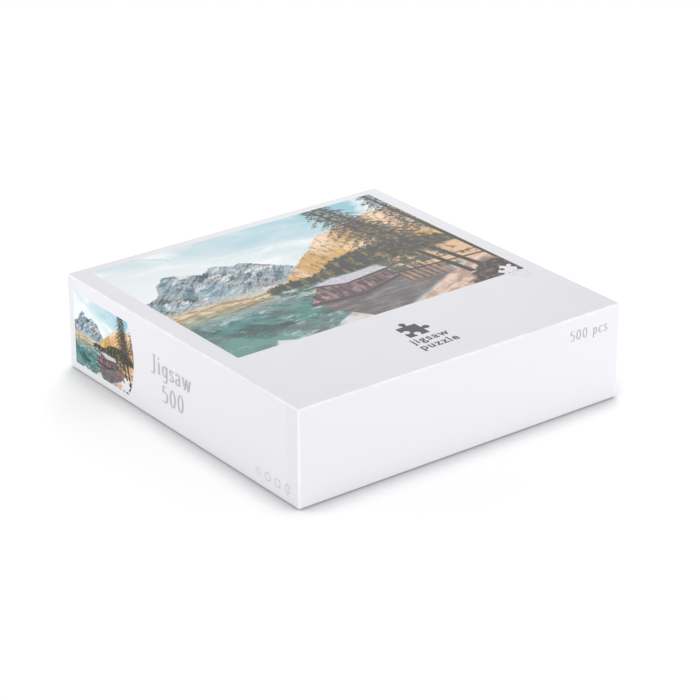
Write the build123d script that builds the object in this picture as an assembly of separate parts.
"""A boxed jigsaw puzzle: a wrapped greyboard box with a full-depth lift-off lid, and a sealed film bag that
holds the 500 loose pieces of one interlocking cut.

Millimetres, +Z up. The origin is the centre of the box's underside. The front of the lid faces -Y, and the
top of the printed picture is towards +Y.
"""

from build123d import *

import math
import os

import numpy as np
from scipy.ndimage import map_coordinates
from scipy.optimize import linprog

# Driving dimensions of the box
LID_WIDTH = 190.0  # outside, and the same both ways
BOX_HEIGHT = 50.0
LID_RIM_LIFT = 0.8  # the lid's rim stops short of the table
SLIDING_GAP = 0.45  # between the lid's turned-in paper and the base, on each side
SEAT_GAP = 0.1  # between the lid's ceiling and the base's rim

# Sheet materials of the box
BOARD = 1.5
PAPER = 0.2
GLUE_LINE = 0.15  # glue and corner tape, between the board and its paper
TAPE = 0.1
TURN_IN = 15.0  # how far the paper folds back inside the walls
TAPE_LEG = 11.0  # how far a corner tape reaches along each wall
TAPE_END_GAP = 1.0  # from a tape's end to the end of the board
FOLD_RADIUS = 1.0  # outside corners and the closed end
RIM_RADIUS = 0.45  # paper folded over the board's rim
SKIN = PAPER + GLUE_LINE  # from the outside to the board
WALL = SKIN + BOARD + GLUE_LINE + PAPER  # from the outside to the face of the turned-in paper

# The cut
COLUMNS = 25
ROWS = 20
PUZZLE_WIDTH = 490.0
PUZZLE_DEPTH = 360.0
PIECE = 1.6  # thickness
CORNER_SHIFT = 0.7  # how far a crossing of two cuts wanders
KNOB_RADIUS = 2.4
KNOB_REACH = 3.1  # from the cut line to the middle of the knob
NECK_RADIUS = 0.9  # of the fillets between the cut line and the knob
KNOB_SHIFT = 0.07  # how far a knob wanders from the middle of its side, as a share of the side
KNOB_SPREAD = 0.1  # how much knobs differ in size

# The bag and the heap inside it
BAG_WIDTH = 172.0  # outside, and the same both ways
FILM = 0.3
BAG_CORNER = 9.0
BAG_GAP = 0.25  # below the bag, and between its film and the pieces
HEADROOM = 1.2  # between the highest piece and the film
HEAP_WIDTH = 161.0
HEAP_CELL = 0.75  # spacing of the height grid that the pieces settle on
PIECE_GAP = 0.12
STEEPEST = 0.22  # slope of a resting piece
GLANCES = 60  # places judged roughly for each piece
TRIES = 5  # the best of them, of which the lowest is taken
EDGE_FALL = 3.0  # how much lower the heap ends at its sides than in its middle
EDGE_POWER = 4  # how late that fall begins
OUTLINE_STEP = 0.7  # spacing of the points that stand for a piece's outline in the heap
FACE_STEP = 1.5  # spacing of the points that stand for its face
SEED = 500

FLOOR_TOP = SKIN + BOARD  # of the base
BAG_LOW = FLOOR_TOP + BAG_GAP
HEAP_LOW = BAG_LOW + FILM + BAG_GAP


def rounded_block(width, low, high, corner, low_edge, high_edge):
    """A square block from height low to high, with its upright, lower and upper edges rounded."""
    block = extrude(Plane.XY.offset(low) * RectangleRounded(width, width, corner), high - low)
    block = fillet(block.edges().group_by(Axis.Z)[0], low_edge)
    return fillet(block.edges().group_by(Axis.Z)[-1], high_edge)


def square_block(width, low, high, depth=None):
    return extrude(Plane.XY.offset(low) * Rectangle(width, depth or width), high - low)


def tray_board(width, low, high, corner):
    """A tray of greyboard, open at the top, with rounded folds and a sharp-edged inside."""
    board = extrude(Plane.XY.offset(low) * RectangleRounded(width, width, corner), high - low)
    board = fillet(board.edges().group_by(Axis.Z)[0], corner)
    return board - square_block(width - 2 * BOARD, low + BOARD, high)


def tray_paper(width, low, high):
    """The paper that covers a tray, goes over its rim and folds back inside its walls."""
    outside = rounded_block(width, low, high, FOLD_RADIUS, FOLD_RADIUS, RIM_RADIUS)
    inside = rounded_block(
        width - 2 * PAPER,
        low + PAPER,
        high - PAPER,
        FOLD_RADIUS - PAPER,
        FOLD_RADIUS - PAPER,
        RIM_RADIUS - PAPER,
    )
    mouth = width - 2 * WALL
    turned_in = square_block(mouth + 2 * PAPER, high - TURN_IN, high - PAPER)
    return outside - inside + turned_in - square_block(mouth, high - TURN_IN, high)


def tray_tapes(width, low, high, corner):
    """Four right-angled tapes that hold the board's corners, each midway in the glue line."""
    inner = width + GLUE_LINE - TAPE
    outer = inner + 2 * TAPE
    inner_corner = corner + (GLUE_LINE - TAPE) / 2
    ring = RectangleRounded(outer, outer, inner_corner + TAPE) - RectangleRounded(inner, inner, inner_corner)
    ring = extrude(Plane.XY.offset(low) * ring, high - low)
    between = inner - 2 * TAPE_LEG
    ring -= square_block(between, low, high, depth=outer)
    ring -= square_block(outer, low, high, depth=between)
    return Compound(ring.solids())


def tray(width, low, high):
    """The greyboard, paper and corner tapes of a tray that is open at the top."""
    board_width = width - 2 * SKIN
    board_low = low + SKIN
    board_high = high - SKIN
    corner = FOLD_RADIUS - SKIN
    board = tray_board(board_width, board_low, board_high, corner)
    paper = tray_paper(width, low, high)
    tapes = tray_tapes(board_width, board_low + TAPE_END_GAP, board_high - TAPE_END_GAP, corner)
    return {"board": board, "wrap": paper, "corner_tapes": tapes}


def base_parts():
    width = LID_WIDTH - 2 * WALL - 2 * SLIDING_GAP
    lid_ceiling = BOX_HEIGHT - SKIN - BOARD
    return tray(width, 0.0, lid_ceiling - SEAT_GAP)


def lid_parts():
    """The lid is a tray turned over."""
    upturned = tray(LID_WIDTH, -BOX_HEIGHT, -LID_RIM_LIFT)
    return {name: Rot(180, 0, 0) * part for name, part in upturned.items()}


def cut_crossings(random):
    """Where the cuts cross, with those inside the picture shifted a little."""
    crossings = {}
    for column in range(COLUMNS + 1):
        for row in range(ROWS + 1):
            shift = random.uniform(-CORNER_SHIFT, CORNER_SHIFT, 2)
            shift[0] *= 0 < column < COLUMNS
            shift[1] *= 0 < row < ROWS
            place = np.array([PUZZLE_WIDTH * column / COLUMNS, -PUZZLE_DEPTH * row / ROWS])
            crossings[column, row] = place + shift
    return crossings


class Side:
    """One side of a piece: a plain edge, or a cut line with a round knob on it."""

    def __init__(self, start, end, knob=0, shift=0.0, size=1.0):
        self.start = start
        self.end = end
        self.ahead = (end - start) / np.linalg.norm(end - start)
        self.out = knob * np.array([-self.ahead[1], self.ahead[0]])
        self.knob = knob
        self.foot = start + (end - start) * (0.5 + shift)
        self.radius = KNOB_RADIUS * size
        self.reach = KNOB_REACH * size
        self.neck = NECK_RADIUS * size
        self.half = math.sqrt((self.radius + self.neck) ** 2 - (self.reach - self.neck) ** 2)

    def at(self, along, out):
        return self.foot + self.ahead * along + self.out * out

    def touch(self, side):
        """Where a neck fillet meets the knob."""
        share = self.radius / (self.radius + self.neck)
        return self.at(side * self.half * share, self.reach - (self.reach - self.neck) * share)

    def neck_middle(self, side):
        """The middle of a neck fillet, which starts straight below its centre and turns towards the knob."""
        first = -math.pi / 2
        last = math.atan2(self.reach - self.neck, -self.half) - 2 * math.pi
        angle = (first + last) / 2
        return self.at(side * (self.half + self.neck * math.cos(angle)), self.neck * (1 + math.sin(angle)))

    def curves(self):
        """Lists of two points for a line, or three for an arc, from start to end."""
        if not self.knob:
            return [[self.start, self.end]]
        top = self.at(0, self.reach + self.radius)
        return [
            [self.start, self.at(-self.half, 0)],
            [self.at(-self.half, 0), self.neck_middle(-1), self.touch(-1)],
            [self.touch(-1), top, self.touch(1)],
            [self.touch(1), self.neck_middle(1), self.at(self.half, 0)],
            [self.at(self.half, 0), self.end],
        ]


def cut_sides(random):
    """Every cut line, from left to right or from the back to the front, by its column and row."""
    crossings = cut_crossings(random)
    across = {}
    down = {}
    for column in range(COLUMNS + 1):
        for row in range(ROWS + 1):
            start = crossings[column, row]
            for sides, end_key, plain in (
                (across, (column + 1, row), row in (0, ROWS)),
                (down, (column, row + 1), column in (0, COLUMNS)),
            ):
                knob = random.choice([-1, 1])
                shift = random.uniform(-KNOB_SHIFT, KNOB_SHIFT)
                size = 1 + random.uniform(-KNOB_SPREAD, KNOB_SPREAD)
                if end_key in crossings:
                    sides[column, row] = Side(start, crossings[end_key], 0 if plain else knob, shift, size)
    return across, down


def piece_outline(across, down, column, row):
    """The curves around one piece, about its own middle."""
    loop = across[column, row].curves() + down[column + 1, row].curves()
    for side in (across[column, row + 1], down[column, row]):
        loop += [curve[::-1] for curve in side.curves()[::-1]]
    middle = np.mean([curve[0] for curve in loop], axis=0)
    return [[point - middle for point in curve] for curve in loop]


def outline_points(outline):
    """Evenly spaced points along a piece's outline."""
    points = []
    for curve in outline:
        edge = curve_edge(curve)
        count = max(2, math.ceil(edge.length / OUTLINE_STEP))
        points += [tuple(edge @ (step / count))[:2] for step in range(count)]
    return np.array(points)


def curve_edge(curve):
    points = [tuple(point) for point in curve]
    return Line(*points) if len(points) == 2 else ThreePointArc(*points)


def piece_solid(outline):
    face = make_face([curve_edge(curve) for curve in outline])
    return extrude(face, PIECE, dir=(0, 0, 1))


def bag_floor(x, y):
    """Height of the lowest place for a piece, which rises where the bag's lower edges curve up."""
    straight = BAG_WIDTH / 2 - BAG_CORNER
    radius = BAG_CORNER - FILM - BAG_GAP
    reach = np.hypot(np.maximum(abs(x) - straight, 0), np.maximum(abs(y) - straight, 0))
    into = np.clip(reach, 0, radius)
    return HEAP_LOW + radius - np.sqrt(radius**2 - into**2)


def inside(points, x, y):
    """Which of the places x, y are inside an outline."""
    after = np.roll(points, -1, axis=0)
    crosses = (points[:, 1] > y[:, None]) != (after[:, 1] > y[:, None])
    rise = np.where(after[:, 1] == points[:, 1], 1.0, after[:, 1] - points[:, 1])
    at_x = points[:, 0] + (y[:, None] - points[:, 1]) * (after[:, 0] - points[:, 0]) / rise
    return np.sum(crosses & (x[:, None] < at_x), axis=1) % 2 == 1


def face_points(points):
    """Evenly spaced places on a piece's face."""
    reach = np.abs(points).max()
    steps = np.arange(-reach, reach, FACE_STEP)
    x, y = [part.ravel() for part in np.meshgrid(steps, steps)]
    keep = inside(points, x, y)
    return np.column_stack([x[keep], y[keep]])


class Heap:
    """Pieces dropped one by one onto a grid of heights, each coming to rest on what is below it.

    A piece rests in the lowest plane that clears the heights below its outline and face. It then raises the
    grid to its upper face, out to a margin that covers the grid's spacing and the lean of its edge.
    """

    MARGIN = HEAP_CELL + PIECE * STEEPEST

    def __init__(self, random):
        self.random = random
        half = BAG_WIDTH / 2
        self.lines = np.arange(-half, half + HEAP_CELL, HEAP_CELL)
        x, y = np.meshgrid(self.lines, self.lines, indexing="ij")
        self.height = bag_floor(x, y)

    def glance(self, points):
        """A random place and turn for a piece, the heights below it there, and how good it looks."""
        yaw = self.random.uniform(0, 2 * math.pi)
        turned = points @ np.array([[math.cos(yaw), math.sin(yaw)], [-math.sin(yaw), math.cos(yaw)]])
        room = HEAP_WIDTH / 2 - np.abs(turned).max(axis=0)
        place = self.random.uniform(-room, room)
        below = map_coordinates(self.height, (turned + place - self.lines[0]).T / HEAP_CELL, order=1)
        outward = np.abs(place).max() / (HEAP_WIDTH / 2)
        penalty = EDGE_FALL * outward**EDGE_POWER
        return (below.max() + below.mean()) / 2 + penalty, yaw, turned, place, below, penalty

    def settle(self, turned, below):
        """Slopes and middle height of the lowest plane that clears the heights below a piece."""
        limits = [(-STEEPEST, STEEPEST), (-STEEPEST, STEEPEST), (None, None)]
        clear = -np.column_stack([turned, np.ones(len(turned))])
        return linprog([0, 0, 1], A_ub=clear, b_ub=-below - PIECE_GAP, bounds=limits, method="highs").x

    def drop(self, outline):
        """Where a piece comes to rest, as the location of its printed or its bare face's middle."""
        flip = self.random.choice([False, True])
        edge = outline_points(outline) * [1, -1 if flip else 1]
        points = np.vstack([edge, face_points(edge)])
        glances = sorted((self.glance(points) for _ in range(GLANCES)), key=lambda one: one[0])
        tries = []
        for _, yaw, turned, place, below, penalty in glances[:TRIES]:
            plane = self.settle(turned, below)
            tries.append((plane[2] + penalty, yaw, turned, place, plane))
        _, yaw, turned, place, plane = min(tries, key=lambda one: one[0])
        self.cover(turned[: len(edge)], place, plane)
        return self.resting_location(yaw, place, plane, flip)

    def cover(self, edge, place, plane):
        """Raise the heights to the piece's upper face, as far as its margin reaches."""
        low = np.searchsorted(self.lines, (edge + place).min(axis=0) - self.MARGIN)
        high = np.searchsorted(self.lines, (edge + place).max(axis=0) + self.MARGIN)
        i, j = [part.ravel() for part in np.mgrid[low[0] : high[0], low[1] : high[1]]]
        x = self.lines[i] - place[0]
        y = self.lines[j] - place[1]
        distance = np.hypot(edge[:, 0] - x[:, None], edge[:, 1] - y[:, None]).min(axis=1)
        covered = inside(edge, x, y) | (distance < self.MARGIN)
        slope_x, slope_y, middle = plane
        top = middle + slope_x * x + slope_y * y + PIECE * math.sqrt(1 + slope_x**2 + slope_y**2)
        i, j = i[covered], j[covered]
        self.height[i, j] = np.maximum(self.height[i, j], top[covered])

    def resting_location(self, yaw, place, plane, flip):
        slope_x, slope_y, middle = plane
        forward = (math.cos(yaw), math.sin(yaw))
        rise = slope_x * forward[0] + slope_y * forward[1]
        upward = Vector(-slope_x, -slope_y, 1).normalized()
        rest = Plane(origin=(*place, middle), x_dir=(*forward, rise), z_dir=upward).location
        return rest * Pos(0, 0, PIECE) * Rot(180, 0, 0) if flip else rest


def puzzle_rows(random):
    """The heaped pieces, grouped by their row in the finished picture, and how high the heap is."""
    across, down = cut_sides(random)
    heap = Heap(random)
    order = [(column, row) for column in range(COLUMNS) for row in range(ROWS)]
    random.shuffle(order)
    pieces = {}
    for column, row in order:
        outline = piece_outline(across, down, column, row)
        location = heap.drop(outline)
        pieces[column, row] = location * piece_solid(outline)
    rows = [Compound([pieces[column, row].solid() for column in range(COLUMNS)]) for row in range(ROWS)]
    return rows, heap.height.max()


def film_bag(heap_top):
    """A closed pillow of film around the heap."""
    top = heap_top + HEADROOM + FILM
    outside = rounded_block(BAG_WIDTH, BAG_LOW, top, BAG_CORNER, BAG_CORNER - FILM, BAG_CORNER - FILM)
    inside = rounded_block(
        BAG_WIDTH - 2 * FILM,
        BAG_LOW + FILM,
        top - FILM,
        BAG_CORNER - FILM,
        BAG_CORNER - 2 * FILM,
        BAG_CORNER - 2 * FILM,
    )
    return outside - inside


def main():
    os.makedirs("parts", exist_ok=True)
    nodes = {}
    for name, part in base_parts().items():
        nodes["base_" + name] = part
    for name, part in lid_parts().items():
        nodes["lid_" + name] = part
    rows, heap_top = puzzle_rows(np.random.default_rng(SEED))
    for number, row in enumerate(rows, start=1):
        nodes[f"puzzle_row_{number:02d}"] = row
    nodes["pieces_bag"] = film_bag(heap_top)
    for name, part in nodes.items():
        export_step(part, f"parts/{name}.step")
    print(f"{len(nodes)} nodes, heap up to z = {heap_top:.1f}")


main()
